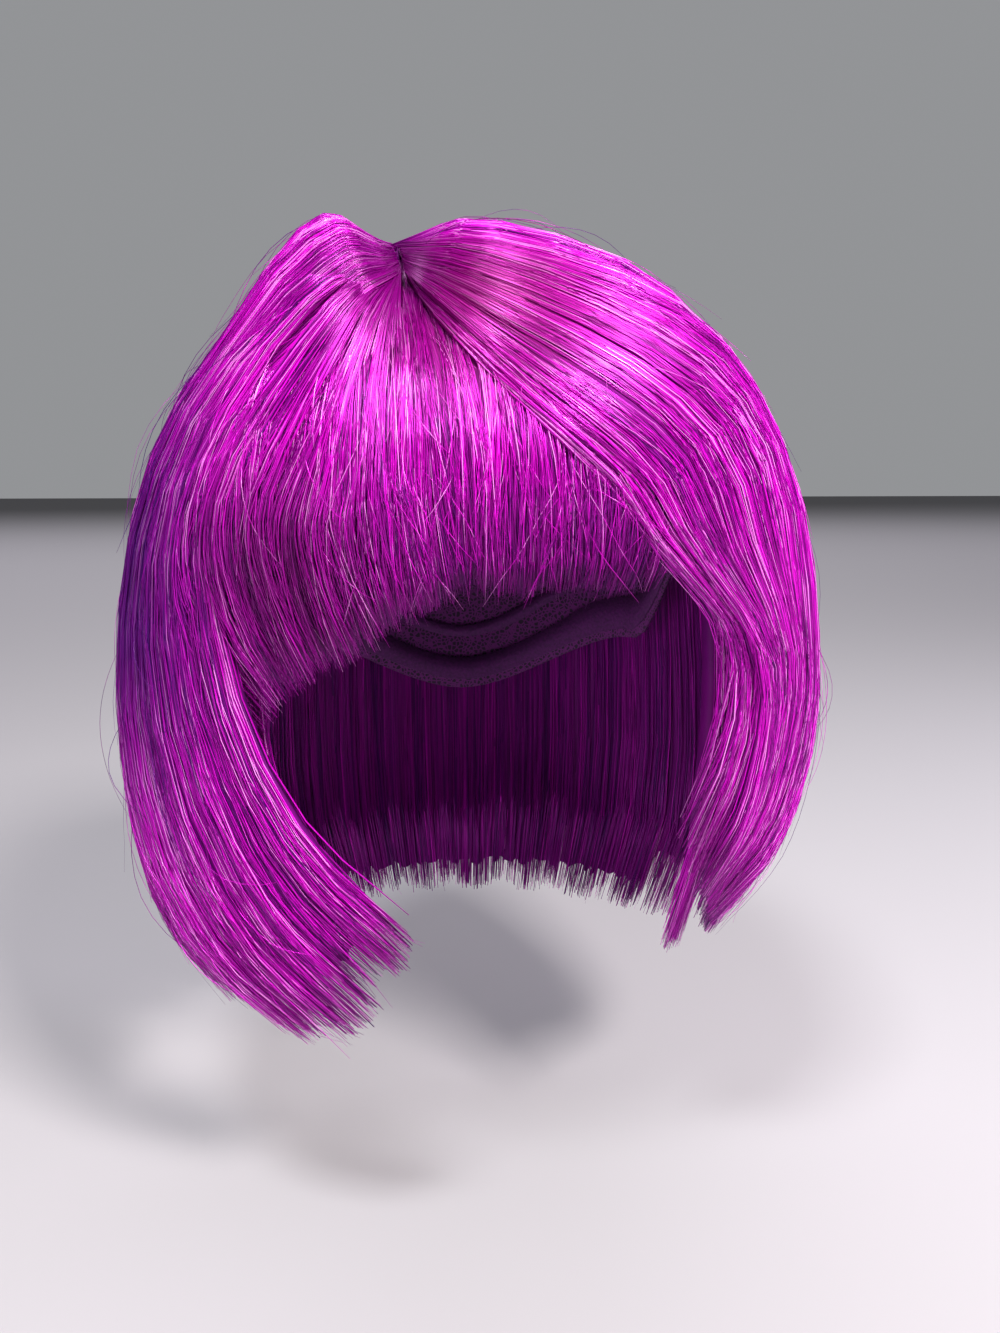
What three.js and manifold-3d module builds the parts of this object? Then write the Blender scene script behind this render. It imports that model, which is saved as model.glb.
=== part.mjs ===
// A straight bob wig with a full fringe, in the form that it has when it is worn.
// Millimetres, +Z up. The face looks to -Y, and the wearer's right is -X.
// The origin is the inside of the cap's crown, by which the wig is held up when it is worn.
import * as THREE from 'three';
import Module from 'manifold-3d';

const wasm = await Module();
wasm.setup();

// Cap: its inside, its wall and how full its curve is
const capWidth = 152;
const capLength = 192;
const capCentreY = 8;
const capDrop = 118;
const capWall = 1.6;
const capFullness = 2.3;

// Hair: its outer form, round an upright axis of its own
const hairWidth = 238;
const hairFrontDepth = 126;
const hairBackDepth = 124;
const hairCentreX = -3;
const hairCentreY = 14;
const hairRise = 20;
const hairLength = 243;
const heartLevel = 0.35;

// Parting: a line on top, from its front end back to the crown
const partingFrontX = -26;
const partingFrontY = -72;
const partingCrownX = -34;
const partingCrownY = 25;
const partingHalfWidth = 1.4;
const crownWhorl = 2.6;
const partingDip = 5;
const frontDip = 1.6;
const partingSlope = 24;
const swellReach = 42;
const rightSwell = 10;
const leftSwell = 1.5;
// Share of the swell that is left at the front edge of a side, and how far back the swell is full
const frontSwell = 0.1;
const swellSpread = 0.4;
// Shares of the parting's length where the crown starts and where the back hair's whorl is
const crownStart = 0.45;
const crownShare = 0.92;

// Walls of hair, measured under the ridges of the locks
const sideWall = 12;
const stripWall = 1.8;
const fringeWall = 7.8;
const templeWall = 4;
const tipWall = 2.6;
const ridgeHeight = 2.2;
const tipNotch = 13;
const fringeNotch = 6.5;
// Shares of a strand's length where the ridges are full and where the wall starts to thin
const ridgeRise = 0.3;
const taperStart = 0.55;
// Shares of a side panel's width, from the front: the thin strip over the fringe, and the step to full
const stripShare = 0.36;
const stripStep = 0.16;
const seatDelay = 0.06;
// How near the cap's edge the wall leaves the cap, and over how wide a share
const seatEdge = 0.35;
const seatFade = 0.35;

// Clearances between pieces
const pieceGap = 0.4;
const seamGap = 0.6;
const fringeGap = 0.9;
const cutTolerance = 0.02;

// Levels of the widest girth and the fullness of the dome, by direction from the front
const girthRows = [
  { direction: 0, level: 0.26, fullness: 2.05 },
  { direction: 35, level: 0.29, fullness: 2.06 },
  { direction: 75, level: 0.53, fullness: 2.16 },
  { direction: 125, level: 0.5, fullness: 2.22 },
  { direction: 180, level: 0.46, fullness: 2.25 },
];

// Rim of the cap, by direction from the front: how far round its side section the cap reaches
const capRimRows = [
  { direction: 0, turn: 62 },
  { direction: 45, turn: 68 },
  { direction: 75, turn: 80 },
  { direction: 95, turn: 76 },
  { direction: 125, turn: 92 },
  { direction: 180, turn: 103 },
];

// Guide strands of each panel: where on the parting the strand starts, how it bows, its directions
// at even steps from the girth down the wall to the tip, its length and its curl
const rightGuides = [
  { along: 0, bow: -40, reach: 0.16, turns: [-42, -39, -31, -16], length: 0.84, curl: 0.69 },
  { along: 0.15, bow: -55, reach: 0.26, turns: [-57, -53, -44, -29], length: 0.945, curl: 0.72 },
  { along: 0.36, bow: -72, reach: 0.3, turns: [-80, -76, -67, -52], length: 0.935, curl: 0.76 },
  { along: 0.62, bow: -92, reach: 0.3, turns: [-101, -99, -94, -86], length: 0.96, curl: 0.78 },
  { along: 0.92, bow: -120, reach: 0.35, turns: [-125, -125, -125, -125], length: 1, curl: 0.76 },
];
const leftGuides = [
  { along: 0, bow: 22, reach: 0.41, turns: [22, 43, 47, 49], length: 0.8, curl: 0.77 },
  { along: 0.15, bow: 36, reach: 0.44, turns: [44, 56, 58, 58], length: 0.83, curl: 0.74 },
  { along: 0.36, bow: 55, reach: 0.5, turns: [74, 77, 75, 70], length: 0.88, curl: 0.72 },
  { along: 0.62, bow: 85, reach: 0.5, turns: [99, 99, 97, 92], length: 0.95, curl: 0.75 },
  { along: 0.92, bow: 120, reach: 0.35, turns: [125, 125, 125, 125], length: 1, curl: 0.76 },
];
const backGuides = [
  { whorl: 90, bow: 120, reach: 0.35, turns: [125], length: 1, curl: 0.76 },
  { whorl: 135, bow: 150, reach: 0.35, turns: [152], length: 1, curl: 0.74 },
  { whorl: 180, bow: 180, reach: 0.35, turns: [180], length: 1, curl: 0.73 },
  { whorl: 225, bow: 210, reach: 0.35, turns: [208], length: 1, curl: 0.74 },
  { whorl: 270, bow: 240, reach: 0.35, turns: [235], length: 1, curl: 0.76 },
];
// Fringe guides: the root's place ahead of the origin and beside it, as shares of the front depth
const fringeGuides = [
  { rootX: -0.4, rootY: 0.36, turns: [-50, -50], length: 0.495, curl: 0.9 },
  { rootX: -0.31, rootY: 0.4, turns: [-30, -29], length: 0.48, curl: 0.89 },
  { rootX: -0.21, rootY: 0.43, turns: [-9, -8], length: 0.4, curl: 0.89 },
  { rootX: -0.11, rootY: 0.43, turns: [14, 15], length: 0.388, curl: 0.89 },
  { rootX: -0.02, rootY: 0.4, turns: [46, 46], length: 0.375, curl: 0.91 },
];
// How far the wall stands out from the axis below the girth, as shares from no curl to full curl
const curlRows = [0, 0, 0.06, 0.2, 0.46, 1];
const fringeCurlRows = [0, 0.2, 0.5, 1];

// Temple locks, at stations from the root to the tip: directions and distances of the front and
// rear edges, as shares of the cap's inside, and the height
const rightTempleRows = [
  { front: -53, rear: -77, frontOut: 1.06, rearOut: 1.16, level: 0.25 },
  { front: -55, rear: -75, frontOut: 1.11, rearOut: 1.2, level: 0.37 },
  { front: -55, rear: -73, frontOut: 1.15, rearOut: 1.24, level: 0.48 },
  { front: -53, rear: -69, frontOut: 1.14, rearOut: 1.22, level: 0.6 },
  { front: -50, rear: -63, frontOut: 1.07, rearOut: 1.14, level: 0.7 },
];
const leftTempleRows = [
  { front: 57, rear: 76, frontOut: 1.04, rearOut: 1.1, level: 0.25 },
  { front: 60, rear: 75, frontOut: 1.09, rearOut: 1.14, level: 0.4 },
  { front: 60, rear: 74, frontOut: 1.11, rearOut: 1.15, level: 0.56 },
  { front: 59, rear: 70, frontOut: 1.04, rearOut: 1.08, level: 0.73 },
  { front: 57, rear: 64, frontOut: 0.91, rearOut: 0.94, level: 0.89 },
];

// Locks across each panel: width, height of the ridge and length of the tip, as shares
const sideLocks = [
  { width: 0.7, ridge: 0.5, tip: 0.8 },
  { width: 1, ridge: 0.9, tip: 1 },
  { width: 1.2, ridge: 1, tip: 0.7 },
  { width: 0.9, ridge: 0.7, tip: 1 },
  { width: 1.2, ridge: 0.9, tip: 0.6 },
  { width: 1, ridge: 0.8, tip: 0.9 },
];
const backLocks = [
  { width: 1, ridge: 0.8, tip: 0.7 },
  { width: 1.2, ridge: 1, tip: 0.5 },
  { width: 0.9, ridge: 0.6, tip: 0.8 },
  { width: 1.2, ridge: 0.9, tip: 0.6 },
  { width: 1, ridge: 0.7, tip: 0.5 },
  { width: 1.1, ridge: 1, tip: 0.7 },
  { width: 0.9, ridge: 0.8, tip: 0.5 },
  { width: 1, ridge: 0.7, tip: 0.8 },
];
const fringeLocks = [
  { width: 0.9, ridge: 0.6, tip: 0.6 },
  { width: 1, ridge: 1, tip: 0.7 },
  { width: 1.2, ridge: 0.8, tip: 0.4 },
  { width: 0.9, ridge: 1, tip: 0.6 },
  { width: 1.1, ridge: 0.7, tip: 0.4 },
  { width: 1, ridge: 1, tip: 0.5 },
  { width: 1.1, ridge: 0.6, tip: 0.6 },
];
const templeLocks = [
  { width: 1, ridge: 0.5, tip: 1 },
  { width: 0.8, ridge: 0.4, tip: 1 },
];
const lockColumns = [0, 0.2, 0.5, 0.8];

// Steps of the meshes
const pathSteps = 40;
const panelRows = 17;
const fringeRows = 13;
const templeRows = 10;
const capColumns = 32;
const capRows = 9;

const radians = THREE.MathUtils.degToRad;
const mix = THREE.MathUtils.lerp;

function ease(t) {
  return THREE.MathUtils.smoothstep(t, 0, 1);
}

// A value between the rows of a list that stand at even steps from 0 to 1, on a smooth curve
function along(values, t) {
  const last = values.length - 1;
  if (last === 0) {
    return values[0];
  }
  const place = THREE.MathUtils.clamp(t, 0, 1) * last;
  const i = Math.min(Math.floor(place), last - 1);
  const before = values[Math.max(i - 1, 0)];
  const after = values[Math.min(i + 2, last)];
  const f = place - i;
  const slope0 = (values[i + 1] - before) / 2;
  const slope1 = (after - values[i]) / 2;
  const f2 = f * f;
  const f3 = f2 * f;
  return values[i] * (2 * f3 - 3 * f2 + 1) + slope0 * (f3 - 2 * f2 + f)
    + values[i + 1] * (3 * f2 - 2 * f3) + slope1 * (f3 - f2);
}

function column(rows, name, t) {
  return along(rows.map((row) => row[name]), t);
}

function turnsAt(guides, t) {
  return guides[0].turns.map((_, k) => along(guides.map((row) => row.turns[k]), t));
}

// A value between the rows of a table that is laid out by direction
function byDirection(rows, name, direction) {
  const turn = Math.abs(((direction + 540) % 360) - 180);
  const i = Math.max(rows.findIndex((row) => row.direction >= turn), 1);
  const share = (turn - rows[i - 1].direction) / (rows[i].direction - rows[i - 1].direction);
  return mix(rows[i - 1][name], rows[i][name], ease(share));
}

function girthLevel(direction) {
  return -hairLength * byDirection(girthRows, 'level', direction);
}

// A point of the plan, from its direction and its share of the hair's girth
function planPoint(direction, share) {
  const turn = radians(direction);
  const depth = Math.cos(turn) > 0 ? hairFrontDepth : hairBackDepth;
  return new THREE.Vector2(
    hairCentreX + share * (hairWidth / 2) * Math.sin(turn),
    hairCentreY - share * depth * Math.cos(turn),
  );
}

// Height of the dome of hair above a point of the plan
function domeHeight(point) {
  const depth = point.y < hairCentreY ? hairFrontDepth : hairBackDepth;
  const x = (point.x - hairCentreX) / (hairWidth / 2);
  const y = (point.y - hairCentreY) / depth;
  const share = Math.min(Math.hypot(x, y), 1);
  const direction = THREE.MathUtils.radToDeg(Math.atan2(x, -y));
  const level = girthLevel(direction);
  const fullness = byDirection(girthRows, 'fullness', direction);
  return level + (hairRise - level) * (1 - share ** fullness) ** (1 / fullness);
}

// The cap's outer side: how near a point of the plan is to its edge, and its height there
function capShare(point) {
  const x = Math.abs(point.x) / (capWidth / 2 + capWall);
  const y = Math.abs(point.y - capCentreY) / (capLength / 2 + capWall);
  return x ** capFullness + y ** capFullness;
}

function capHeight(point) {
  const share = Math.min(capShare(point), 1);
  return capWall - (capDrop + capWall) * (1 - (1 - share) ** (1 / capFullness));
}

// Points at even steps along a path
function evenSteps(path, steps) {
  const curve = new THREE.CatmullRomCurve3(path);
  curve.arcLengthDivisions = pathSteps * 4;
  return curve.getSpacedPoints(steps);
}

// A strand over the dome from its root to the girth, then down the wall to its tip
function strand(root, bowPoint, turns, length, curl, curlSteps) {
  const plan = new THREE.QuadraticBezierCurve(root, bowPoint, planPoint(turns[0], 1));
  const path = [];
  for (let i = 0; i < pathSteps; i += 1) {
    const point = plan.getPoint(Math.sin((i / pathSteps) * (Math.PI / 2)));
    path.push(new THREE.Vector3(point.x, point.y, domeHeight(point)));
  }
  const top = girthLevel(turns[0]);
  for (let i = 0; i <= pathSteps; i += 1) {
    const t = i / pathSteps;
    const share = 1 - (1 - curl) * along(curlSteps, t);
    const point = planPoint(along(turns, t), share);
    path.push(new THREE.Vector3(point.x, point.y, mix(top, -hairLength * length, t)));
  }
  return path;
}

// The root line runs down one side of the parting, round the crown and up the other side
function partingPoint(share, side) {
  const away = mix(partingHalfWidth, crownWhorl, ease((share - crownStart) / (crownShare - crownStart)));
  return new THREE.Vector2(
    mix(partingFrontX, partingCrownX, share) + side * away,
    mix(partingFrontY, partingCrownY, share),
  );
}

function guideBow(root, guides, t) {
  const bow = radians(column(guides, 'bow', t));
  const reach = column(guides, 'reach', t) * (hairWidth / 2);
  return new THREE.Vector2(root.x + reach * Math.sin(bow), root.y - reach * Math.cos(bow));
}

function sideStrand(guides, side, t) {
  const root = partingPoint(column(guides, 'along', t), side);
  const bowPoint = guideBow(root, guides, t);
  const length = column(guides, 'length', t);
  return strand(root, bowPoint, turnsAt(guides, t), length, column(guides, 'curl', t), curlRows);
}

function backStrand(t) {
  const whorl = radians(column(backGuides, 'whorl', t));
  const crown = partingPoint(crownShare, 0);
  const root = new THREE.Vector2(
    crown.x + crownWhorl * Math.sin(whorl),
    crown.y - crownWhorl * Math.cos(whorl),
  );
  const bowPoint = guideBow(root, backGuides, t);
  const length = column(backGuides, 'length', t);
  return strand(root, bowPoint, turnsAt(backGuides, t), length, column(backGuides, 'curl', t), curlRows);
}

function fringeStrand(t) {
  const root = new THREE.Vector2(
    column(fringeGuides, 'rootX', t) * hairFrontDepth,
    -column(fringeGuides, 'rootY', t) * hairFrontDepth,
  );
  const turns = turnsAt(fringeGuides, t);
  const bowPoint = root.clone().lerp(planPoint(turns[0], 1), 0.5);
  const length = column(fringeGuides, 'length', t);
  return strand(root, bowPoint, turns, length, column(fringeGuides, 'curl', t), fringeCurlRows);
}

function templeStrand(rows, t) {
  return rows.map((row) => {
    const turn = radians(mix(row.front, row.rear, t));
    const out = mix(row.frontOut, row.rearOut, t);
    return new THREE.Vector3(
      out * (capWidth / 2) * Math.sin(turn),
      capCentreY - out * (capLength / 2) * Math.cos(turn),
      -hairLength * row.level,
    );
  });
}

// Places of the columns of a panel, with the ridge and the notch of the lock that each is in
function lockPlaces(locks) {
  const whole = locks.reduce((sum, lock) => sum + lock.width, 0);
  const places = [];
  let start = 0;
  for (const lock of locks) {
    for (const f of lockColumns) {
      const crest = 1 - (2 * f - 1) ** 2;
      const t = (start + f * lock.width) / whole;
      places.push({ t, ridge: crest * lock.ridge, notch: (1 - crest) * lock.tip });
    }
    start += lock.width;
  }
  places.push({ t: 1, ridge: 0, notch: 1 });
  places[0].notch = 1;
  return places;
}

// A closed solid between two grids of points that have the same rows and columns
function closedWall(outer, inner, wraps) {
  const positions = [];
  const index = [];
  const rows = outer.length;
  const columns = outer[0].length;
  for (const grid of [outer, inner]) {
    grid.flat().forEach((point) => positions.push(point.x, point.y, point.z));
  }
  const at = (side, i, j) => side * rows * columns + i * columns + (j % columns);
  const quad = (a, b, c, d) => index.push(a, b, c, a, c, d);
  const spans = wraps ? columns : columns - 1;
  for (let j = 0; j < spans; j += 1) {
    for (let i = 0; i < rows - 1; i += 1) {
      quad(at(0, i, j), at(0, i + 1, j), at(0, i + 1, j + 1), at(0, i, j + 1));
      quad(at(1, i, j), at(1, i, j + 1), at(1, i + 1, j + 1), at(1, i + 1, j));
    }
    quad(at(0, rows - 1, j), at(1, rows - 1, j), at(1, rows - 1, j + 1), at(0, rows - 1, j + 1));
    if (!wraps) {
      quad(at(0, 0, j), at(0, 0, j + 1), at(1, 0, j + 1), at(1, 0, j));
    }
  }
  if (!wraps) {
    for (let i = 0; i < rows - 1; i += 1) {
      quad(at(0, i, 0), at(1, i, 0), at(1, i + 1, 0), at(0, i + 1, 0));
      quad(at(0, i, spans), at(0, i + 1, spans), at(1, i + 1, spans), at(1, i, spans));
    }
  }
  return { positions, index };
}

function asSolid({ positions, index }) {
  return new wasm.Manifold(new wasm.Mesh({
    numProp: 3,
    vertProperties: new Float32Array(positions),
    triVerts: new Uint32Array(index),
  }));
}

function asGeometry(solid) {
  const mesh = solid.getMesh();
  const geometry = new THREE.BufferGeometry();
  geometry.setAttribute('position', new THREE.BufferAttribute(new Float32Array(mesh.vertProperties), 3));
  geometry.setIndex(new THREE.BufferAttribute(new Uint32Array(mesh.triVerts), 1));
  geometry.computeVertexNormals();
  return geometry;
}

// What is left of a piece when its neighbours, each grown by the gap, are cut away from it
function cutBy(solid, neighbours) {
  const rest = neighbours.reduce((piece, neighbour) => piece.subtract(neighbour), solid);
  const bodies = rest.decompose().sort((a, b) => b.volume() - a.volume());
  return bodies[0].simplify(cutTolerance);
}

// Outward directions at the points of a strand: square to the strand, away from the hair's heart
function outwardAlong(points) {
  const heart = new THREE.Vector3(hairCentreX, hairCentreY, -hairLength * heartLevel);
  return points.map((point, i) => {
    const next = points[Math.min(i + 1, points.length - 1)];
    const down = next.clone().sub(points[Math.max(i - 1, 0)]).normalize();
    const out = point.clone().sub(heart);
    return out.addScaledVector(down, -out.dot(down)).normalize();
  });
}

// A panel of hair: locks side by side on a wall that rests on the cap near the root
function hairPanel({ strandAt, locks, rows, lift, wall, seated, notchDepth, grow = 0 }) {
  const places = lockPlaces(locks);
  const columns = places.map((place) => {
    const path = evenSteps(strandAt(place.t), rows * 4);
    const curve = new THREE.CatmullRomCurve3(path);
    const share = 1 - (place.notch * notchDepth) / curve.getLength();
    const points = [];
    for (let i = 0; i <= rows; i += 1) {
      points.push(curve.getPointAt((i / rows) * share));
    }
    return points;
  });
  const base = columns[0].map((_, i) => columns.map((points) => points[i]));
  const outward = columns.map(outwardAlong);
  const outer = [];
  const inner = [];
  base.forEach((line, i) => {
    const v = i / rows;
    const outerLine = [];
    const innerLine = [];
    line.forEach((point, j) => {
      const place = places[j];
      const edge = j === 0 ? 1 : j === line.length - 1 ? -1 : 0;
      const next = line[j + (edge || 1)] ?? line[j - 1];
      const inset = edge ? next.clone().sub(point).normalize() : new THREE.Vector3();
      const end = i === 0 ? 1 : i === rows ? -1 : 0;
      const across = next.clone().sub(point).normalize();
      const down = base[i + (end || 1)]?.[j].clone().sub(point) ?? new THREE.Vector3();
      down.addScaledVector(across, -down.dot(across)).setLength(end ? grow : 0);
      const spot = point.clone().addScaledVector(inset, seamGap / 2 - grow).sub(down);
      const ridge = (place.ridge - 1) * ridgeHeight * ease(v / ridgeRise);
      const top = spot.clone().addScaledVector(outward[j][i], lift(place.t, v) + ridge + grow);
      const thick = mix(wall(place.t), tipWall, ease((v - taperStart) / (1 - taperStart)));
      const low = spot.clone().addScaledVector(outward[j][i], lift(place.t, v) - ridgeHeight - thick - grow);
      const seat = new THREE.Vector3(spot.x, spot.y, capHeight(spot) - capWall);
      const free = Math.max(ease((capShare(spot) - seatEdge) / seatFade), 1 - seated(place.t));
      outerLine.push(top);
      innerLine.push(seat.lerp(low, free));
    });
    outer.push(outerLine);
    inner.push(innerLine);
  });
  return asSolid(closedWall(outer, inner, false));
}

// Near the parting the hair dips into the groove, and past it the hair swells up
function partingLift(v, swell, dip) {
  const away = v * hairLength;
  const raised = ease(away / partingSlope);
  return swell * raised * (1 - ease((away - partingSlope) / swellReach)) - dip * (1 - raised);
}

// The front of each side is a thin strip that lies over the fringe, and the rest is thick
function thickShare(t) {
  return ease((t - stripShare) / stripStep);
}

// The hair of one side. Grown by a gap it is the room to keep clear of, and then its thick part
// starts further forward too.
function sideHair(guides, side, grow) {
  const fromFront = (t) => (side < 0 ? 1 - t : t);
  const swell = side < 0 ? rightSwell : leftSwell;
  const early = (2 * grow) / (partingCrownY - partingFrontY);
  const thick = (t) => thickShare(fromFront(t) + early);
  const swellAt = (t) => swell * mix(frontSwell, 1, ease(fromFront(t) / swellSpread));
  return hairPanel({
    strandAt: (t) => sideStrand(guides, side, fromFront(t)),
    locks: side < 0 ? [...sideLocks].reverse() : sideLocks,
    rows: panelRows,
    lift: (t, v) => partingLift(v, swellAt(t), mix(frontDip, partingDip, thick(t))),
    wall: (t) => mix(stripWall, sideWall, thick(t)),
    seated: (t) => thickShare(fromFront(t) + early - seatDelay),
    notchDepth: tipNotch,
    grow,
  });
}

function backHair() {
  return hairPanel({
    strandAt: backStrand,
    locks: backLocks,
    rows: panelRows,
    lift: (t, v) => partingLift(v, mix(leftSwell, rightSwell, t), partingDip),
    wall: () => sideWall,
    seated: () => 1,
    notchDepth: tipNotch,
  });
}

function fringeHair() {
  return hairPanel({
    strandAt: fringeStrand,
    locks: fringeLocks,
    rows: fringeRows,
    lift: () => -ridgeHeight - stripWall - fringeGap,
    wall: () => fringeWall,
    seated: () => 1,
    notchDepth: fringeNotch,
  });
}

// A lock that hangs from the cap's edge at the temple, inside the hair of the side
function templeLock(rows, side) {
  return hairPanel({
    strandAt: (t) => templeStrand(rows, side < 0 ? 1 - t : t),
    locks: templeLocks,
    rows: templeRows,
    lift: () => 0,
    wall: () => templeWall,
    seated: () => 0,
    notchDepth: tipNotch,
  });
}

// The side of the cap at a distance outside its inner face, row by row from the crown to the rim
function capShell(wall) {
  const side = (i, j) => {
    const direction = (j / capColumns) * 360;
    const turn = radians(byDirection(capRimRows, 'turn', direction)) * (i / capRows);
    const out = Math.sin(turn) ** (2 / capFullness);
    const up = Math.sign(Math.cos(turn)) * Math.abs(Math.cos(turn)) ** (2 / capFullness);
    const x = Math.sin(radians(direction));
    const y = Math.cos(radians(direction));
    const round = (Math.abs(x) ** capFullness + Math.abs(y) ** capFullness) ** (-1 / capFullness);
    return new THREE.Vector3(
      (capWidth / 2 + wall) * out * round * x,
      capCentreY - (capLength / 2 + wall) * out * round * y,
      (capDrop + wall) * up - capDrop,
    );
  };
  const grid = [];
  for (let i = 1; i <= capRows; i += 1) {
    grid.push(Array.from({ length: capColumns }, (_, j) => side(i, j)));
  }
  return grid;
}

function closeCrown(mesh, pole, first, turned) {
  const tip = mesh.positions.length / 3;
  mesh.positions.push(...pole);
  for (let j = 0; j < capColumns; j += 1) {
    const a = first + j;
    const b = first + ((j + 1) % capColumns);
    mesh.index.push(tip, turned ? b : a, turned ? a : b);
  }
}

// The cap: a thin dome, deeper at the nape than at the forehead and cut back over the ears
function wigCap() {
  const mesh = closedWall(capShell(capWall), capShell(0), true);
  closeCrown(mesh, [0, capCentreY, capWall], 0, false);
  closeCrown(mesh, [0, capCentreY, 0], capRows * capColumns, true);
  return asSolid(mesh);
}

// The room that the cap and its hollow take, with the gap that other pieces keep to it
function capRoom() {
  const outer = capShell(capWall + pieceGap);
  const rim = outer.at(-1);
  rim.forEach((point, j) => {
    const down = point.clone().sub(outer.at(-2)[j]).normalize();
    point.addScaledVector(down, pieceGap);
  });
  const mesh = { positions: [], index: [] };
  outer.flat().forEach((point) => mesh.positions.push(point.x, point.y, point.z));
  for (let i = 0; i < capRows - 1; i += 1) {
    for (let j = 0; j < capColumns; j += 1) {
      const a = i * capColumns + j;
      const b = i * capColumns + ((j + 1) % capColumns);
      mesh.index.push(a, a + capColumns, b + capColumns, a, b + capColumns, b);
    }
  }
  closeCrown(mesh, [0, capCentreY, capWall + pieceGap], 0, false);
  closeCrown(mesh, [0, capCentreY, -capDrop], (capRows - 1) * capColumns, true);
  return asSolid(mesh);
}

const capNet = new THREE.MeshStandardMaterial({ color: '#3b0a3d', roughness: 0.85, metalness: 0 });
const brightFibre = new THREE.MeshStandardMaterial({ color: '#c010bb', roughness: 0.38, metalness: 0 });
const fringeFibre = new THREE.MeshStandardMaterial({ color: '#c713bf', roughness: 0.38, metalness: 0 });
const deepFibre = new THREE.MeshStandardMaterial({ color: '#8d0a96', roughness: 0.42, metalness: 0 });
const templeFibre = new THREE.MeshStandardMaterial({ color: '#a817ae', roughness: 0.42, metalness: 0 });

const group = new THREE.Group();

function add(name, solid, material) {
  const mesh = new THREE.Mesh(asGeometry(solid), material);
  mesh.name = name;
  group.add(mesh);
}

const hollow = capRoom();
const leftRoom = sideHair(leftGuides, 1, fringeGap);
const rightRoom = sideHair(rightGuides, -1, fringeGap);

add('wig_cap', wigCap(), capNet);
add('fringe', cutBy(fringeHair(), [hollow, leftRoom, rightRoom]), fringeFibre);
add('right_side_hair', cutBy(sideHair(rightGuides, -1, 0), [hollow]), brightFibre);
add('left_side_hair', cutBy(sideHair(leftGuides, 1, 0), [hollow]), brightFibre);
add('back_hair', cutBy(backHair(), [hollow]), deepFibre);
add('right_temple_lock', cutBy(templeLock(rightTempleRows, -1), [hollow, rightRoom]), templeFibre);
add('left_temple_lock', cutBy(templeLock(leftTempleRows, 1), [hollow, leftRoom]), templeFibre);

export default group;
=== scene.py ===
# The looks of a magenta bob wig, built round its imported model.
# Lengths are worked out in millimetres and become metres as each mesh is made.
from math import atan, cos, radians, sin

import bpy
import numpy as np
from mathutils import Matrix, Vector


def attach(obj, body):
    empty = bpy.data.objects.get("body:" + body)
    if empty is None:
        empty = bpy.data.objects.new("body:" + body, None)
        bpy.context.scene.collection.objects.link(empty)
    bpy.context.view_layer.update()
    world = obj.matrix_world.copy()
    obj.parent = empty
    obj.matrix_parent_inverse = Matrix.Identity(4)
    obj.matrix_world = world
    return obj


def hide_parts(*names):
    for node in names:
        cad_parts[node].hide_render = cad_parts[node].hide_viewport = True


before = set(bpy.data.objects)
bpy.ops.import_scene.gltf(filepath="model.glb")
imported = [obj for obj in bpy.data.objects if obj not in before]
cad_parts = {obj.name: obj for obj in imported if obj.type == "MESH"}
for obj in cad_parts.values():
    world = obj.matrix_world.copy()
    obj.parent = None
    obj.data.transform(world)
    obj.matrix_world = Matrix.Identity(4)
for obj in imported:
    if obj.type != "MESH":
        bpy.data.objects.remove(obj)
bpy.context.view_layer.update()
mm = 0.001


# Camera: at the photograph's viewing angle, a little to the wearer's right of the middle and above
# the fringe. The photograph is 1000 by 1333 and its long side spans the sensor.
photo_width = 1000
photo_height = 1333
focal_pixels = 1200
camera_turn = radians(5)
camera_tilt = radians(9.7)
camera_distance = 416
camera_height = -55
aim_x = 6
aim_y = 12
aim_pixel = 495

camera = bpy.data.cameras.new("camera")
camera.sensor_width = 36
camera.lens = focal_pixels * camera.sensor_width / photo_height
camera_object = bpy.data.objects.new("camera", camera)
bpy.context.scene.collection.objects.link(camera_object)
bpy.context.scene.camera = camera_object
back = Vector((-sin(camera_turn), -cos(camera_turn), 0))
right = Vector((cos(camera_turn), -sin(camera_turn), 0))
place = Vector((aim_x, aim_y, 0)) + back * camera_distance
camera_object.location = Vector((place.x, place.y, camera_height)) * mm
aside = atan((aim_pixel - photo_width / 2) / focal_pixels)
ahead = -back * cos(aside) - right * sin(aside)
look = ahead * cos(camera_tilt) - Vector((0, 0, 1)) * sin(camera_tilt)
camera_object.rotation_euler = look.to_track_quat("-Z", "Y").to_euler()


# Colours are sRGB hex values, and Blender works in linear light.
def linear(hex_colour):
    channels = [int(hex_colour[i:i + 2], 16) / 255 for i in (1, 3, 5)]
    return [c / 12.92 if c <= 0.04045 else ((c + 0.055) / 1.055) ** 2.4 for c in channels] + [1]


def add_node(material, kind, settings=None, links=None):
    node = material.node_tree.nodes.new(kind)
    for name, value in (settings or {}).items():
        if name in node.inputs:
            node.inputs[name].default_value = value
        else:
            setattr(node, name, value)
    for name, source in (links or {}).items():
        material.node_tree.links.new(source, node.inputs[name])
    return node


def new_material(name):
    material = bpy.data.materials.new(name)
    material.use_nodes = True
    return material, material.node_tree.nodes["Principled BSDF"]


# Room: a plain pale floor in a soft grey room, two lights in front and above for the sheen along
# the shoulders and the fringe, one from the wearer's left, a weak one low on the wearer's right
# and a wide one far behind.
floor_height = -301
floor_size = 16
room_light = 0.15
room_seen = 0.34

bpy.ops.object.select_all(action="DESELECT")
bpy.ops.mesh.primitive_plane_add(size=floor_size, location=(0, 0, floor_height * mm))
floor = bpy.context.object
floor.name = "floor"
bpy.ops.object.transform_apply(location=True)
paper, shader = new_material("matt white paper")
shader.inputs["Base Color"].default_value = linear("#a6a4a8")
shader.inputs["Roughness"].default_value = 0.9
floor.data.materials.append(paper)

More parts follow.
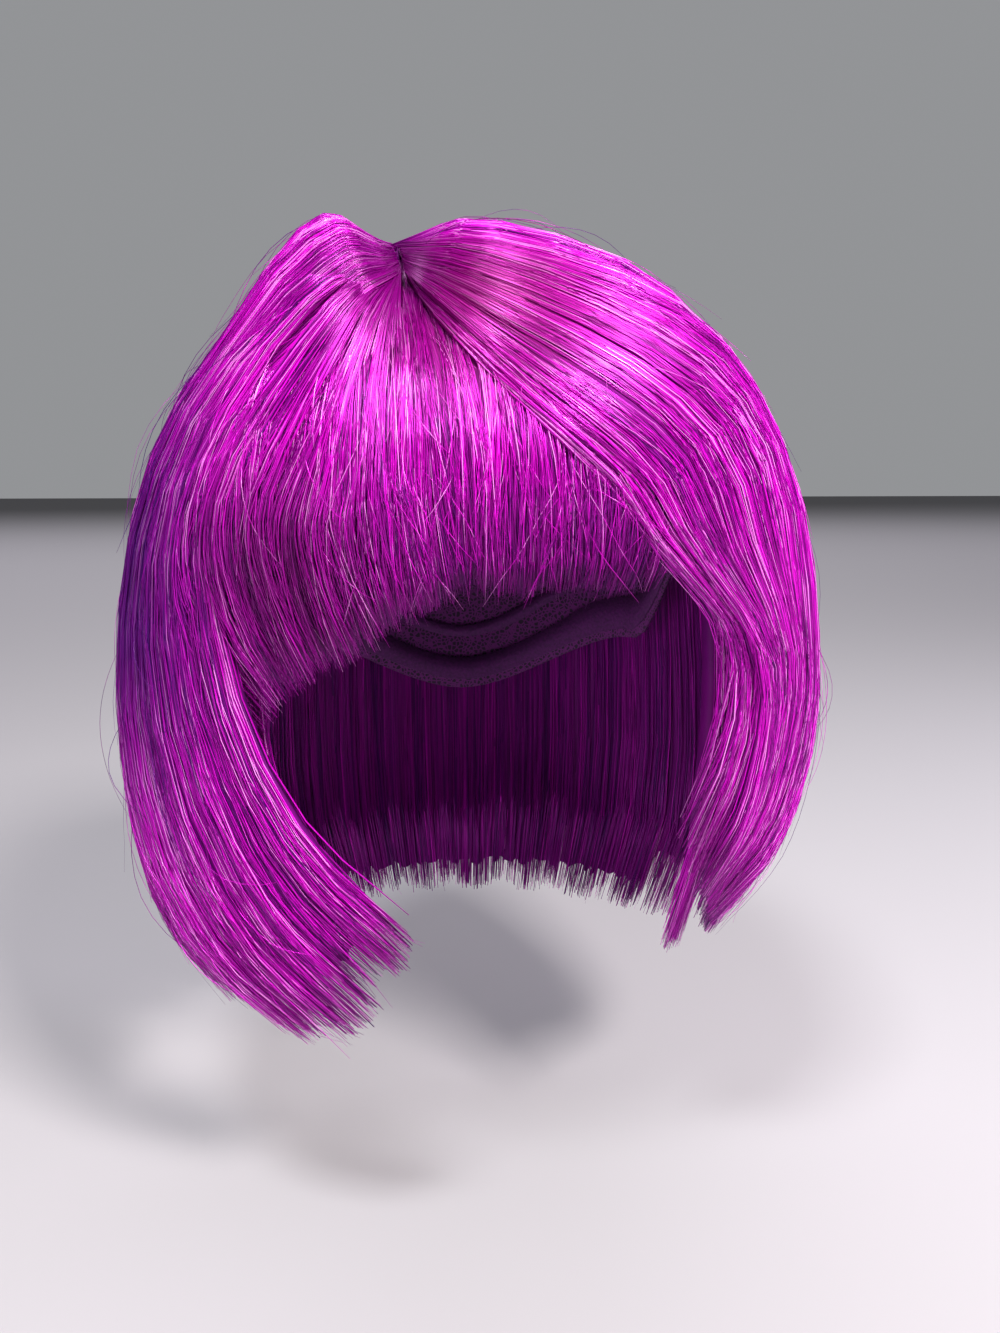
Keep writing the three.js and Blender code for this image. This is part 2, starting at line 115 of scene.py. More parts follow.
world = bpy.data.worlds.new("soft room")
bpy.context.scene.world = world
world.use_nodes = True
world.node_tree.nodes["Background"].inputs["Color"].default_value = linear("#eef0f4")
room = world.node_tree.nodes["Background"]
rays = world.node_tree.nodes.new("ShaderNodeLightPath")
strength = world.node_tree.nodes.new("ShaderNodeMapRange")
strength.inputs["To Min"].default_value = room_light
strength.inputs["To Max"].default_value = room_seen
world.node_tree.links.new(rays.outputs["Is Camera Ray"], strength.inputs["Value"])
world.node_tree.links.new(strength.outputs["Result"], room.inputs["Strength"])
bpy.context.scene.view_settings.view_transform = "Standard"


def soft_light(name, place, size, power, colour):
    lamp = bpy.data.lights.new(name, "AREA")
    lamp.shape = "RECTANGLE"
    lamp.size, lamp.size_y = size
    lamp.energy = power
    lamp.color = linear(colour)[:3]
    lamp_object = bpy.data.objects.new(name, lamp)
    lamp_object.location = place
    aim = Vector((0, 0, -0.1)) - Vector(place)
    lamp_object.rotation_euler = aim.to_track_quat("-Z", "Y").to_euler()
    bpy.context.scene.collection.objects.link(lamp_object)


soft_light("key light", (0.5, -0.94, 0.73), (0.3, 0.26), 32, "#fff8f4")
soft_light("overhead light", (-0.3, -0.69, 1.03), (0.3, 0.26), 16, "#ffffff")
soft_light("side light", (1.2, 0.1, 0.39), (0.4, 0.4), 7, "#f6f2ff")
soft_light("fill light", (-0.9, -1.5, -0.05), (0.5, 0.5), 7, "#fff8ff")
soft_light("back light", (-0.4, 3.5, 2.9), (6, 1.6), 150, "#fbf8ff")


# Wig cap: a stretch net dome, knitted of polyamide, that all the hair is sewn to.
# It is a smooth shell built in the imported cap's place, with a sewn band along its rim and rows of weft
# tape inside.
cap_width = 152
cap_length = 192
cap_centre_y = 8
cap_drop = 118
cap_fullness = 2.3
cap_wall = 1.6
cap_rows = 28
rim_rows = [(0, 62), (45, 68), (75, 80), (95, 76), (125, 92), (180, 103)]
band_width = 7
band_thick = 0.8
weft_rows = 9
weft_width = 3
weft_thick = 0.7
round_steps = 96


def ease(t):
    t = np.clip(t, 0, 1)
    return t * t * (3 - 2 * t)


# A value between the rows of a table that is laid out by direction from the front, in degrees
def by_direction(rows, direction):
    turn = np.abs((np.asarray(direction, float) + 540) % 360 - 180)
    starts = np.array([row[0] for row in rows], float)
    values = np.array([row[1] for row in rows], float)
    i = np.clip(np.searchsorted(starts, turn) - 1, 0, len(rows) - 2)
    share = (turn - starts[i]) / (starts[i + 1] - starts[i])
    return values[i] + (values[i + 1] - values[i]) * ease(share)


def cap_point(direction, turn, off):
    around = np.radians(direction)
    out = np.sin(turn) ** (2 / cap_fullness)
    up = np.sign(np.cos(turn)) * np.abs(np.cos(turn)) ** (2 / cap_fullness)
    x, y = np.sin(around), np.cos(around)
    plump = (np.abs(x) ** cap_fullness + np.abs(y) ** cap_fullness) ** (-1 / cap_fullness)
    return np.stack([
        (cap_width / 2 + off) * out * plump * x,
        cap_centre_y - (cap_length / 2 + off) * out * plump * y,
        (cap_drop + off) * up - cap_drop,
    ], axis=-1)


def mesh_piece(name, points, faces, material):
    mesh = bpy.data.meshes.new(name)
    mesh.from_pydata((np.asarray(points).reshape(-1, 3) * mm).tolist(), [], faces)
    mesh.materials.append(material)
    piece = bpy.data.objects.new(name, mesh)
    bpy.context.scene.collection.objects.link(piece)
    mesh.shade_smooth()
    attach(piece, "root")
    return piece


# A flat tape with a rectangular section that runs round the inside of the cap
def tape_ring(level, width, thick, first):
    directions = np.linspace(0, 360, round_steps, endpoint=False)
    rim = np.radians(by_direction(rim_rows, directions))
    turn = rim * level
    half = width / 2 / (cap_length / 2)
    section = [(-half, -0.3), (-half, -0.3 - thick), (half, -0.3 - thick), (half, -0.3)]
    rings = np.stack([cap_point(directions, turn + side, off) for side, off in section], axis=1)
    faces = []
    for j in range(round_steps):
        k = (j + 1) % round_steps
        for a in range(4):
            b = (a + 1) % 4
            faces.append([first + j * 4 + a, first + j * 4 + b, first + k * 4 + b, first + k * 4 + a])
    return rings.reshape(-1, 3), faces


net, shader = new_material("knitted polyamide net")
net_pitch = 1.6 * mm
grid = add_node(net, "ShaderNodeTexCoord").outputs["Object"]
mesh_holes = add_node(net, "ShaderNodeTexVoronoi", {"Scale": 1 / net_pitch, "feature": "DISTANCE_TO_EDGE"},
                      {"Vector": grid})
threads = add_node(net, "ShaderNodeValToRGB", links={"Fac": mesh_holes.outputs["Distance"]})
threads.color_ramp.elements[0].color = linear("#6a1a70")
threads.color_ramp.elements[0].position = 0.08
threads.color_ramp.elements[1].color = linear("#2a0a30")
threads.color_ramp.elements[1].position = 0.2
net.node_tree.links.new(threads.outputs["Color"], shader.inputs["Base Color"])
net_bump = add_node(net, "ShaderNodeBump", {"Strength": 0.6, "Distance": 0.4 * mm, "invert": True},
                    {"Height": mesh_holes.outputs["Distance"]})
net.node_tree.links.new(net_bump.outputs["Normal"], shader.inputs["Normal"])
shader.inputs["Roughness"].default_value = 0.85


# The shell: an outer and an inner skin from the crown down to the rim, joined along the rim
def cap_shell():
    directions = np.linspace(0, 360, round_steps, endpoint=False)
    levels = np.linspace(0, 1, cap_rows + 1)[1:]
    turn = np.radians(by_direction(rim_rows, directions)) * levels[:, None]
    skins = [cap_point(directions, turn, off).reshape(-1, 3) for off in (cap_wall, 0)]
    count = cap_rows * round_steps
    points = np.concatenate([skins[0], skins[1], [[0, cap_centre_y, cap_wall], [0, cap_centre_y, 0]]])
    index = np.arange(count).reshape(cap_rows, round_steps)
    after = np.roll(index, -1, axis=1)
    outer = np.stack([index[:-1], index[1:], after[1:], after[:-1]], axis=-1).reshape(-1, 4)
    rim = np.stack([index[-1], index[-1] + count, after[-1] + count, after[-1]], axis=-1)
    faces = outer.tolist() + (outer[:, ::-1] + count).tolist() + rim.tolist()
    for a, b in zip(index[0].tolist(), after[0].tolist()):
        faces += [[2 * count, a, b], [2 * count + 1, b + count, a + count]]
    return points, faces


cap_points, cap_faces = cap_shell()
cap = mesh_piece("cap_net", cap_points, cap_faces, net)
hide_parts("wig_cap")

tape, shader = new_material("woven polyester tape")
tape_thread = 1 / 0.9 * mm
ribs = add_node(tape, "ShaderNodeTexNoise", {"Scale": 1 / tape_thread, "Detail": 3},
                {"Vector": add_node(tape, "ShaderNodeTexCoord").outputs["Object"]})
weave = add_node(tape, "ShaderNodeValToRGB", links={"Fac": ribs.outputs["Fac"]})
weave.color_ramp.elements[0].color = linear("#2a0730")
weave.color_ramp.elements[1].color = linear("#6b1476")
tape.node_tree.links.new(weave.outputs["Color"], shader.inputs["Base Color"])
tape_bump = add_node(tape, "ShaderNodeBump", {"Strength": 0.9, "Distance": 0.5 * mm},
                     {"Height": ribs.outputs["Fac"]})
tape.node_tree.links.new(tape_bump.outputs["Normal"], shader.inputs["Normal"])
shader.inputs["Roughness"].default_value = 0.8

tape_points = []
tape_faces = []
levels = [(0.965, band_width, band_thick)]
levels += [(0.16 + 0.74 * i / (weft_rows - 1), weft_width, weft_thick) for i in range(weft_rows)]
for level, width, thick in levels:
    ring, ring_faces = tape_ring(level, width, thick, len(tape_points))
    tape_points += ring.tolist()
    tape_faces += ring_faces
mesh_piece("cap_tapes", tape_points, tape_faces, tape)


# Back hair: straight synthetic fibre from the crown's whorl round the back, cut level at the nape
# and turned in at the tips. It is a body of packed fibre with some thousands of strands laid on it,
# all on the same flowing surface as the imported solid.
hair_width = 238
hair_front = 126
hair_back = 124
hair_x = -3
hair_y = 14
hair_rise = 20
hair_length = 243
heart_level = 0.35
girth_rows = [(0, 0.26), (35, 0.29), (75, 0.53), (125, 0.5), (180, 0.46)]
fullness_rows = [(0, 2.05), (35, 2.06), (75, 2.16), (125, 2.22), (180, 2.25)]
parting_front = np.array([-26, -72])
parting_crown = np.array([-34, 25])
parting_half = 0.4
crown_whorl = 1.6
crown_start = 0.45
crown_share = 0.92
parting_dip = 5
parting_slope = 24
swell_reach = 42
right_swell = 10
left_swell = 1.5
side_wall = 12
tip_wall = 2.6
ridge_height = 2.2
curl_rows = [0, 0, 0.06, 0.2, 0.46, 1]
# Whorl, bow, reach and end direction of the guide strands, then their length and curl as shares
back_guides = [
    (90, 120, 0.35, 125, 1, 0.76),
    (135, 150, 0.35, 152, 1, 0.74),
    (180, 180, 0.35, 180, 1, 0.73),
    (225, 210, 0.35, 208, 1, 0.74),
    (270, 240, 0.35, 235, 1, 0.76),
]
# Width, ridge and tip of each lock, as shares
back_locks = [(1, 0.8, 0.7), (1.2, 1, 0.5), (0.9, 0.6, 0.8), (1.2, 0.9, 0.6),
              (1, 0.7, 0.5), (1.1, 1, 0.7), (0.9, 0.8, 0.5), (1, 0.7, 0.8)]
columns = 161
rows = 81
lining_steps = 8
body_columns = 101
body_rows = 25
body_ragged = 4
edge_reach = 0.05
bend_share = 0.7
thinnest = 0.5
# Strays: their share of the strands, thickness, crossing angle, lighter tone and glints. The lighter tone
# and the glints are painted highlights: strands and short dashes that catch the light.
stray_share = 0.25
stray_thin = 0.6
stray_cross = 3
stray_painted_light = 0.13
stray_glint = 0.27
plain_glint = 0.05
# Raggedness of a clump's tips in mm, how far its edges round off and how far a strand splays
clump_ragged = 4
clump_round = 0.7
tip_splay = 2
root_spread = 0.012
# Where the painted shade towards the tips begins, as a share along the strands
tip_shade_start = 0.58


# A value between rows that stand at even steps from 0 to 1, on a smooth curve
def along(values, t):
    values = np.asarray(values, float)
    t = np.asarray(t, float)
    if len(values) == 1:
        return np.full(t.shape, values[0])
    at = np.clip(t, 0, 1) * (len(values) - 1)
    i = np.minimum(at.astype(int), len(values) - 2)
    f = at - i
    low, high = values[i], values[i + 1]
    slope_low = (high - values[np.maximum(i - 1, 0)]) / 2
    slope_high = (values[np.minimum(i + 2, len(values) - 1)] - low) / 2
    return (low * (2 * f**3 - 3 * f**2 + 1) + slope_low * (f**3 - 2 * f**2 + f)
            + high * (3 * f**2 - 2 * f**3) + slope_high * (f**3 - f**2))


def girth_level(direction):
    return -hair_length * by_direction(girth_rows, direction)


def plan_point(direction, share):
    turn = np.radians(direction)
    depth = np.where(np.cos(turn) > 0, hair_front, hair_back)
    return np.stack([hair_x + share * hair_width / 2 * np.sin(turn),
                     hair_y - share * depth * np.cos(turn)], axis=-1)


def dome_height(plan):
    depth = np.where(plan[..., 1] < hair_y, hair_front, hair_back)
    x = (plan[..., 0] - hair_x) / (hair_width / 2)
    y = (plan[..., 1] - hair_y) / depth
    share = np.minimum(np.hypot(x, y), 1)
    direction = np.degrees(np.arctan2(x, -y))
    level = girth_level(direction)
    fullness = by_direction(fullness_rows, direction)
    return level + (hair_rise - level) * (1 - share**fullness) ** (1 / fullness)


# Strands from their roots over the dome to the girth, then down the wall to their tips
def strand_paths(roots, bows, turns, lengths, curls, curl_steps):
    path_steps = 48
    s = np.sin(np.linspace(0, np.pi / 2, path_steps, endpoint=False))[None, :, None]
    joins = plan_point(turns[0], 1)[:, None]
    plan = roots[:, None] * (1 - s) ** 2 + 2 * bows[:, None] * s * (1 - s) + joins * s**2
    dome = np.concatenate([plan, dome_height(plan)[..., None]], axis=2)
    t = np.linspace(0, 1, path_steps + 1)
    share = 1 - (1 - curls[:, None]) * along(curl_steps, t)[None]
    directions = np.array([along(column, t) for column in np.array(turns).T])
    plan = plan_point(directions, share)
    top = girth_level(turns[0])[:, None]
    height = top + (-hair_length * lengths[:, None] - top) * t[None]
    return np.concatenate([dome, np.concatenate([plan, height[..., None]], axis=2)], axis=1)


# The bends of each path, rounded: each pass moves every point towards its neighbours
def smoothed(paths, passes):
    for _ in range(passes):
        paths[:, 1:-1] = (paths[:, :-2] + 2 * paths[:, 1:-1] + paths[:, 2:]) / 4
    return paths


# Even steps along each path
def even_steps(paths, steps):
    spans = np.linalg.norm(np.diff(paths, axis=1), axis=2)
    run = np.concatenate([np.zeros((len(paths), 1)), np.cumsum(spans, axis=1)], axis=1)
    even = np.empty((len(paths), steps, 3))
    for i, path in enumerate(paths):
        stops = np.linspace(0, run[i, -1], steps)
        for axis in range(3):
            even[i, :, axis] = np.interp(stops, run[i], path[:, axis])
    return even, run[:, -1]


# Outward directions: square to the strands, away from the heart of the hair
def outward_of(points):
    heart = np.array([hair_x, hair_y, -hair_length * heart_level])
    down = np.gradient(points, axis=1)
    down /= np.linalg.norm(down, axis=2, keepdims=True)
    out = points - heart
    out -= down * np.sum(out * down, axis=2, keepdims=True)
    return out / np.linalg.norm(out, axis=2, keepdims=True)


# Ridge and notch of the lock that each place across a panel is in
def lock_form(locks, t):
    widths = np.array([lock[0] for lock in locks], float)
    edges = np.concatenate([[0], np.cumsum(widths) / widths.sum()])
    i = np.clip(np.searchsorted(edges, t, side="right") - 1, 0, len(locks) - 1)
    f = (t - edges[i]) / (edges[i + 1] - edges[i])
    crest = 1 - (2 * f - 1) ** 2
    ridge = crest * np.array([lock[1] for lock in locks])[i]
    notch = (1 - crest) * np.array([lock[2] for lock in locks])[i]
    return ridge, notch


# Near the parting the hair dips into the groove, and past it the hair swells up
def parting_lift(away, swell, dip, slope=parting_slope):
    raised = ease(away / slope)
    return swell * raised * (1 - ease((away - slope) / swell_reach)) - dip * (1 - raised)


# A panel of hair: the surface that its strands lie on, its outward directions and its wall
def panel(paths, locks, notch_depth, lift, wall, fine_ridge, seed, passes=24):
    t = np.linspace(0, 1, columns)
    points, lengths = even_steps(smoothed(paths, passes), rows)
    outward = outward_of(points)
    v = np.linspace(0, 1, rows)[None]
    ridge, notch = lock_form(locks, t)
    dice = np.random.default_rng(seed)
    grooves = np.interp(t, np.linspace(0, 1, 60), dice.normal(0, fine_ridge, 60))[:, None]
    top = lift(t[:, None], v * lengths[:, None]) - ridge_height * (1 - ridge[:, None]) * ease(v / 0.3)
    top = top + grooves * ease(v / 0.4)
    thick = wall(t)[:, None] + (tip_wall - wall(t)[:, None]) * ease((v - 0.55) / 0.45)
    return {
        "points": points,
        "outward": outward,
        "top": top,
        "thick": thick,
        "end": 1 - notch * notch_depth / lengths,
        "lengths": lengths,
    }


# Points of a panel's surface at a share t across it and v along it, at a depth below the surface
def on_panel(hair, t, v, depth):
    i = np.clip(t, -edge_reach, 1 + edge_reach) * (columns - 1)
    j = np.clip(v, 0, 1) * (rows - 1)
    i0 = np.clip(i.astype(int), 0, columns - 2)
    j0 = np.minimum(j.astype(int), rows - 2)
    fi = (i - i0)[..., None]
    fj = (j - j0)[..., None]

    def blend(grid):
        return ((grid[i0, j0] * (1 - fi) + grid[i0 + 1, j0] * fi) * (1 - fj)
                + (grid[i0, j0 + 1] * (1 - fi) + grid[i0 + 1, j0 + 1] * fi) * fj)

    top = blend(hair["top"][..., None])
    outward = blend(hair["outward"])
    outward /= np.linalg.norm(outward, axis=-1, keepdims=True)
    return blend(hair["points"]) + outward * (top - depth[..., None]), outward


# The packed fibre under the strands: a closed shell a little below the strands' surface, which
# thins out towards its end
def hair_body(name, hair, sunk, short, material, node):
    across = np.linspace(0, 1, body_columns)
    at = (across * (columns - 1)).astype(int)
    t = across[:, None] * np.ones((1, body_rows))
    share = np.linspace(0, 1, body_rows)[None]
    dice = np.random.default_rng(len(name))
    end = hair["end"].min() - (short + dice.uniform(0, body_ragged, columns)) / hair["lengths"]
    v = end[at][:, None] * share
    low = sunk + 0.8 * ease((share - 0.8) / 0.2) * np.ones(t.shape)
    thick = hair["thick"][at][:, (np.linspace(0, 1, body_rows) * (rows - 1)).astype(int)]
    deep = ridge_height - 0.4 + thick
    deep = deep + (low + thinnest - deep) * ease((share - 0.75) / 0.25)
    outer, _ = on_panel(hair, t, v, low)
    inner, _ = on_panel(hair, t, v, np.maximum(deep, low + thinnest))
    index = np.arange(t.size).reshape(t.shape)
    a, b, c, d = index[:-1, :-1], index[1:, :-1], index[1:, 1:], index[:-1, 1:]
    skin = np.stack([a, d, c, b], axis=-1).reshape(-1, 4)
    edge = np.concatenate([index[0, :], index[1:, -1], index[-1, -2::-1], index[-2:0:-1, 0]])
    after = np.roll(edge, -1)
    rim = np.stack([edge, edge + t.size, after + t.size, after], axis=-1)
    faces = np.concatenate([skin, skin[:, ::-1] + t.size, rim]).tolist()
    points = np.concatenate([outer.reshape(-1, 3), inner.reshape(-1, 3)])
    piece = mesh_piece(name, points, faces, material)
    place = np.stack([t * panel_width(hair), v * hair["lengths"][at][:, None]], axis=-1).reshape(-1, 2) * mm
    layer = piece.data.uv_layers.new(name="strands")
    corners = np.empty(len(piece.data.loops), int)
    piece.data.loops.foreach_get("vertex_index", corners)
    layer.data.foreach_set("uv", np.concatenate([place, place])[corners].ravel())
    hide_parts(node)


def panel_width(hair):
    return np.linalg.norm(np.diff(hair["points"][:, rows // 2], axis=0), axis=1).sum()


# Shares along the strands, closer together where the panel bends
def bend_steps(hair, steps):
    way = np.diff((hair["points"] + hair["outward"] * hair["top"][..., None])[::20], axis=1)
    way /= np.linalg.norm(way, axis=2, keepdims=True)
    turn = np.arccos(np.clip(np.sum(way[:, 1:] * way[:, :-1], axis=2), -1, 1)).mean(axis=0)
    spread = bend_share * turn / turn.sum() + (1 - bend_share) / len(turn)
    reached = np.concatenate([[0], np.cumsum(spread)])
    return np.interp(np.linspace(0, 1, steps), reached, np.linspace(0, 1, len(reached)))


# Strands as thin closed three-sided tubes, each with a tone of its own and its place from the root
def strand_tubes(name, points, outward, radius, tone, material):
    n, m, _ = points.shape
    along_way = np.gradient(points, axis=1)
    along_way /= np.linalg.norm(along_way, axis=2, keepdims=True)
    side = np.cross(outward, along_way)
    side /= np.linalg.norm(side, axis=2, keepdims=True)
    up = np.cross(along_way, side)
    corners = np.radians([90, 210, 330])
    ring = (points[:, :, None] + radius[:, :, None, None]
            * (up[:, :, None] * np.sin(corners)[:, None] + side[:, :, None] * np.cos(corners)[:, None]))
    first = (np.arange(n) * m * 3)[:, None, None]
    step = (np.arange(m - 1) * 3)[None, :, None]
    k = np.arange(3)[None, None]
    a = first + step + k
    b = first + step + (k + 1) % 3
    walls = np.stack([a, b, b + 3, a + 3], axis=-1).reshape(-1, 4)
    roots = first[:, :, 0] + np.array([[2, 1, 0]])
    tips = first[:, :, 0] + (m - 1) * 3 + np.array([[0, 1, 2]])
    piece = mesh_piece(name, ring, walls.tolist() + roots.tolist() + tips.tolist(), material)
    way = np.linspace(0, 1, m)[None, :, None] * np.ones((n, 1, 3))
    for label, values in (("tone", tone[:, :, None] * np.ones((1, 1, 3))), ("way", way)):
        layer = piece.data.attributes.new(label, "FLOAT", "POINT")
        layer.data.foreach_set("value", values.ravel().astype(np.float32))


# Random clumps across a panel: the strands of one share a tone and draw together near the tip
def clumps(dice, t, width, hair):
    span = panel_width(hair)
    count = int(span / width)
    edges = np.sort(np.linspace(0, 1, count + 1) + dice.normal(0, 0.25 / count, count + 1))
    edges[0], edges[-1] = 0, 1
    i = np.clip(np.searchsorted(edges, t) - 1, 0, count - 1)
    middle = (edges[i] + edges[i + 1]) / 2
    return {
        "middle": middle,
        "place": (t - middle) / (edges[i + 1] - edges[i]) * 2,
        "pull": dice.uniform(0.1, 0.55, count)[i],
        "tone": dice.normal(0, 1, count)[i],
        "lean": dice.normal(0, 1, count)[i],
        "short": dice.uniform(0, 1, count)[i],
        "span": span,
    }


# One layer of strands laid on a panel. Each leans with its clump, wanders a little and crosses the
# others at a small angle. Strays are thinner and lighter, the lighter tone a painted highlight of strands
# catching the light, lie on top and cross at a wider angle. Short lighter dashes along every strand are
# painted glints.
# With a tip shade, the strands grow darker and more even in tone towards their tips: painted shade, as
# where the fringe curls under.
def strand_layer(name, hair, count, steps, seed, material, depth=(0.1, 1.6),
                 thickness=(0.13, 0.25), clump_width=6, lean=1.2, wander=0.5, cross=2, ragged=6,
                 tone=0.5, spread=0.24, tip_spread=1.5, tip_shade=0):
    dice = np.random.default_rng(seed)
    t0 = dice.uniform(0, 1, count)
    group = clumps(dice, t0, clump_width, hair)
    start = dice.uniform(0, root_spread, count)
    column = (t0 * (columns - 1)).astype(int)
    shorter = group["short"] * clump_ragged + dice.exponential(ragged / 2, count)
    end = hair["end"][column] - shorter / hair["lengths"][column]
    w = bend_steps(hair, steps)[None]
    v = start[:, None] + (end - start)[:, None] * w
    late = ease((w - 0.35) / 0.65)
    drift = lean * group["lean"][:, None] * np.sin(3 * w + 1) * ease(w / 0.3)
    wave = dice.normal(0, 1, count)[:, None]
    phase = dice.uniform(0, 6.3, count)[:, None]
    drift = drift + wander * wave * np.sin(5 * w + phase)
    stray = dice.uniform(0, 1, count) < stray_share
    crossing = dice.normal(0, cross, count) * np.where(stray, stray_cross, 1)
    drift = drift + crossing[:, None] * (w - 0.2) * ease(w / 0.15)
    drift = drift + dice.normal(0, tip_splay, count)[:, None] * late**2
    pulled = (group["middle"] - t0) * group["pull"]
    t = t0[:, None] + pulled[:, None] * late + drift / group["span"]
    low = dice.uniform(depth[0], depth[1], count)[:, None]
    low = low + clump_round * group["place"][:, None] ** 2 * ease(w / 0.35)
    low = low + dice.uniform(0, tip_spread, count)[:, None] * ease((w - 0.7) / 0.3)
    low = np.where(stray[:, None], dice.uniform(-0.5, 0.4, count)[:, None] * ease(w / 0.2), low)
    points, outward = on_panel(hair, t, v, low)
    size = np.exp(dice.uniform(np.log(thickness[0]), np.log(thickness[1]), count))[:, None]
    size = size * np.where(stray, stray_thin, 1)[:, None]
    shape = (0.6 + 0.4 * ease(w / 0.1)) * (1 - 0.6 * ease((w - 0.93) / 0.07))
    shade = tone + 0.08 * group["tone"] + dice.normal(0, spread, count)
    # Painted highlight: strays are lighter in tone
    shade = shade + np.where(stray, stray_painted_light, 0)
    # Painted glints: short lighter dashes along the strands
    glint = dice.normal(0, 1, (count, steps)) * np.where(stray, stray_glint, plain_glint)[:, None]
    # Painted shade: darker towards the tips
    tip_shading = tip_shade * ease((w - tip_shade_start) / 0.4)
    shade = shade[:, None] * (1 - 0.3 * tip_shading) + glint * (1 - tip_shading) - 0.4 * tip_shading
    strand_tubes(name, points, outward, size * shape, np.clip(shade, 0, 1), material)


# The strands seen from inside, on the inner side of a panel's wall
def lining(name, hair, count, seed, material, first=0.3, tone=0.25):
    dice = np.random.default_rng(seed)
    t0 = dice.uniform(0, 1, count)
    column = (t0 * (columns - 1)).astype(int)
    w = np.linspace(0, 1, lining_steps)[None]
    end = hair["end"][column] - dice.exponential(5, count) / hair["lengths"][column]
    v = first + (end - first)[:, None] * w
    t = t0[:, None] + (dice.normal(0, 4, count)[:, None] * (w - 0.3)) / panel_width(hair)
    thick = hair["thick"][column][:, (np.linspace(first, 1, lining_steps) * (rows - 1)).astype(int)]
    low = ridge_height - 0.3 + thick * (1 - 0.6 * ease((w - 0.6) / 0.4))
    low = low + dice.uniform(-0.3, 0.3, count)[:, None]
    points, outward = on_panel(hair, t, v, low)
    size = dice.uniform(0.2, 0.42, count)[:, None] * (1 - 0.6 * ease((w - 0.85) / 0.15))
    shade = np.clip(tone + dice.normal(0, 0.15, count), 0, 1)[:, None] * np.ones((1, lining_steps))
    strand_tubes(name, points, outward, size, shade, material)


# Loose strands that have left the surface: each rises from it, drifts aside, and half come back
def loose_strands(name, hair, count, steps, seed, material, span, rise, cross, places=(0.03, 0.9),
                  thickness=(0.06, 0.11), tone=0.4):
    dice = np.random.default_rng(seed)
    t0 = dice.uniform(0, 1, count)
    column = (t0 * (columns - 1)).astype(int)
    start = dice.uniform(places[0], places[1], count)
    reach = dice.uniform(span[0], span[1], count) / hair["lengths"][column]
    w = np.linspace(0, 1, steps)[None]
    v = np.minimum(start, 1 - reach)[:, None] + reach[:, None] * w
    bend = dice.uniform(0.6, 2, count)[:, None]
    t = t0[:, None] + dice.normal(0, cross, count)[:, None] * w**bend / panel_width(hair)
    back = dice.uniform(0, 1, count)[:, None] < 0.5
    height = np.minimum(dice.exponential(rise, count), 2.2 * rise)[:, None]
    height = height * np.where(back, np.sin(np.pi * w), w**1.4)
    points, outward = on_panel(hair, t, v, 0.6 - height)
    size = dice.uniform(thickness[0], thickness[1], count)[:, None] * (1 - 0.6 * ease((w - 0.7) / 0.3))
    shade = tone + dice.normal(0, 0.3, count)[:, None] + dice.normal(0, 0.2, (count, steps))
    strand_tubes(name, points, outward, size, np.clip(shade, 0, 1), material)


# Straight modacrylic fibre, extruded and dyed through: translucent and glossy. Strands differ a little in
# tone, and their palest tone is the colour of painted glints. They are darker at the root, which is painted
# shade in the parting's groove, and lean to violet on the wearer's right, which is painted shade.
def colour_ramp(material, value, stops):
    node = add_node(material, "ShaderNodeValToRGB", links={"Fac": value})
    ramp = node.color_ramp
    for extra in stops[2:]:
        ramp.elements.new(extra[0])
    for element, (place, colour) in zip(ramp.elements, sorted(stops)):
        element.position = place
        element.color = linear(colour)
    return node.outputs["Color"]


def mixed(material, factor, first, colour):
    mix = add_node(material, "ShaderNodeMix", {"data_type": "RGBA"})
    material.node_tree.links.new(factor, mix.inputs[0])
    material.node_tree.links.new(first, mix.inputs[6])
    mix.inputs[7].default_value = linear(colour)
    return mix.outputs[2]


def faded(material, value, start, end, low, high):
    steps = {"From Min": start, "From Max": end, "To Min": low, "To Max": high}
    return add_node(material, "ShaderNodeMapRange", steps, {"Value": value}).outputs["Result"]


def product(material, first, second):
    times = add_node(material, "ShaderNodeMath", {"operation": "MULTIPLY"})
    material.node_tree.links.new(first, times.inputs[0])
    material.node_tree.links.new(second, times.inputs[1])
    return times.outputs["Value"]


# Painted shade by place, in the fibre's colour: darker violet down the wearer's right side stands in for
# shade with a cool cast.
# A crimson spot at the front of the parting is a crimson tint made darker as painted shade; darker spots in
# the parting's groove and at the fringe's right corner, where it curls under, are painted shade. Places and
# widths are in millimetres.
painted_shade_spots = [((-6, -85, -8), 8, 44, 0.75, "#8a0060"), ((-60, -92, -86), 8, 38, 0.7, "#5a0052"),
             ((-27, -74, -6), 8, 34, 0.65, "#5a0058")]


def with_painted_shade(material, colour):
    place = add_node(material, "ShaderNodeTexCoord").outputs["Object"]
    axes = add_node(material, "ShaderNodeSeparateXYZ", links={"Vector": place})
    # Painted shade: violet and darker down the wearer's right side
    aside = faded(material, axes.outputs["X"], -72 * mm, -106 * mm, 0, 0.8)
    height = faded(material, axes.outputs["Z"], -178 * mm, -112 * mm, 0, 1)
    front = faded(material, axes.outputs["Y"], 10 * mm, -35 * mm, 0, 1)
    colour = mixed(material, product(material, product(material, aside, height), front), colour, "#30086a")
    # Painted shade: each spot darkens the colour near its centre
    for centre, inner, outer, strength, spot_colour in painted_shade_spots:
        away = add_node(material, "ShaderNodeVectorMath", {"operation": "DISTANCE"})
        material.node_tree.links.new(place, away.inputs[0])
        away.inputs[1].default_value = [length * mm for length in centre]
        near = faded(material, away.outputs["Value"], outer * mm, inner * mm, 0, strength)
        colour = mixed(material, near, colour, spot_colour)
    return colour


